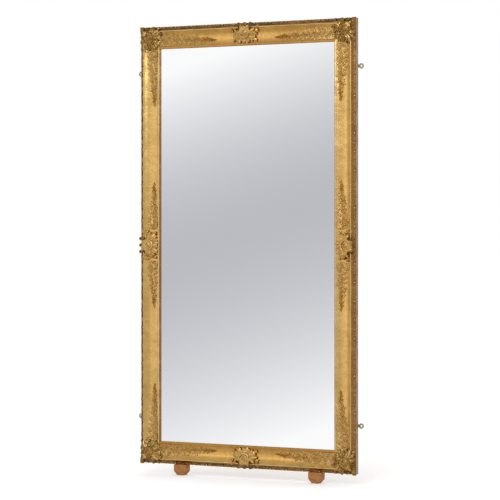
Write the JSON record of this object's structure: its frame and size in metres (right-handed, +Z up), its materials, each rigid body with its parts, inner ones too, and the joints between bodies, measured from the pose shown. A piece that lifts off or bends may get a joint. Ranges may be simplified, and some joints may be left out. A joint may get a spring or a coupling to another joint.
{
  "type": "full-length wall mirror",
  "caption": "Tall rectangular gilt wall mirror: mitred moulded frame with cast corner and centre ornament, plate glass, backboards, brass wall plates and foot blocks.",
  "frame": {"origin": "middle of the object seen from above, at the height of the foot soles", "axes": "+X to the right seen from the front, -Y out of the mirror's face towards the viewer, +Z up"},
  "size_m": [1.033, 0.0464, 1.849],
  "materials": {
    "gilt": "burnished gold leaf over gesso and red-brown bole, on softwood",
    "gilt_ornament": "worn gold leaf on cast composition, dark in the hollows",
    "bronze_band": "bronzed composition, gold rubbed back on the high points",
    "pine": "bare aged softwood",
    "foot_wood": "waxed reddish hardwood",
    "mirror": "silvered plate glass, polished",
    "brass": "dull, lacquered and tarnished",
    "steel": "dull slotted screws"
  },
  "bodies": {
    "root": {"backboard_1": "pine", "backboard_2": "pine", "backboard_3": "pine", "backboard_4": "pine", "backboard_5": "pine", "backboard_6": "pine", "centre_cartouche_bottom": "gilt_ornament", "centre_cartouche_left": "gilt_ornament", "centre_cartouche_right": "gilt_ornament", "centre_cartouche_top": "gilt_ornament", "centre_spray_left_lower": "gilt_ornament", "centre_spray_left_upper": "gilt_ornament", "centre_spray_right_lower": "gilt_ornament", "centre_spray_right_upper": "gilt_ornament", "corner_cartouche_bottom_left": "gilt_ornament", "corner_cartouche_bottom_right": "gilt_ornament", "corner_cartouche_top_left": "gilt_ornament", "corner_cartouche_top_right": "gilt_ornament", "corner_spray_bottom_rail_left": "gilt_ornament", "corner_spray_bottom_rail_right": "gilt_ornament", "corner_spray_left_stile_lower": "gilt_ornament", "corner_spray_left_stile_upper": "gilt_ornament", "corner_spray_right_stile_lower": "gilt_ornament", "corner_spray_right_stile_upper": "gilt_ornament", "corner_spray_top_rail_left": "gilt_ornament", "corner_spray_top_rail_right": "gilt_ornament", "foot_left": "foot_wood", "foot_right": "foot_wood", "foot_screw_left": "steel", "foot_screw_right": "steel", "frame_bottom_rail": "gilt", "frame_left_stile": "gilt", "frame_right_stile": "gilt", "frame_top_rail": "gilt", "glass_fillet_bottom": "pine", "glass_fillet_left": "pine", "glass_fillet_right": "pine", "glass_fillet_top": "pine", "leaf_band_bottom": "bronze_band", "leaf_band_left": "bronze_band", "leaf_band_right": "bronze_band", "leaf_band_top": "bronze_band", "mirror_glass": "mirror", "mitre_key_bottom_left": "pine", "mitre_key_bottom_right": "pine", "mitre_key_top_left": "pine", "mitre_key_top_right": "pine", "plate_screw_left_lower_1": "steel", "plate_screw_left_lower_2": "steel", "plate_screw_left_upper_1": "steel", "plate_screw_left_upper_2": "steel", "plate_screw_right_lower_1": "steel", "plate_screw_right_lower_2": "steel", "plate_screw_right_upper_1": "steel", "plate_screw_right_upper_2": "steel", "wall_plate_left_lower": "brass", "wall_plate_left_upper": "brass", "wall_plate_right_lower": "brass", "wall_plate_right_upper": "brass"}
  },
  "joints": []
}
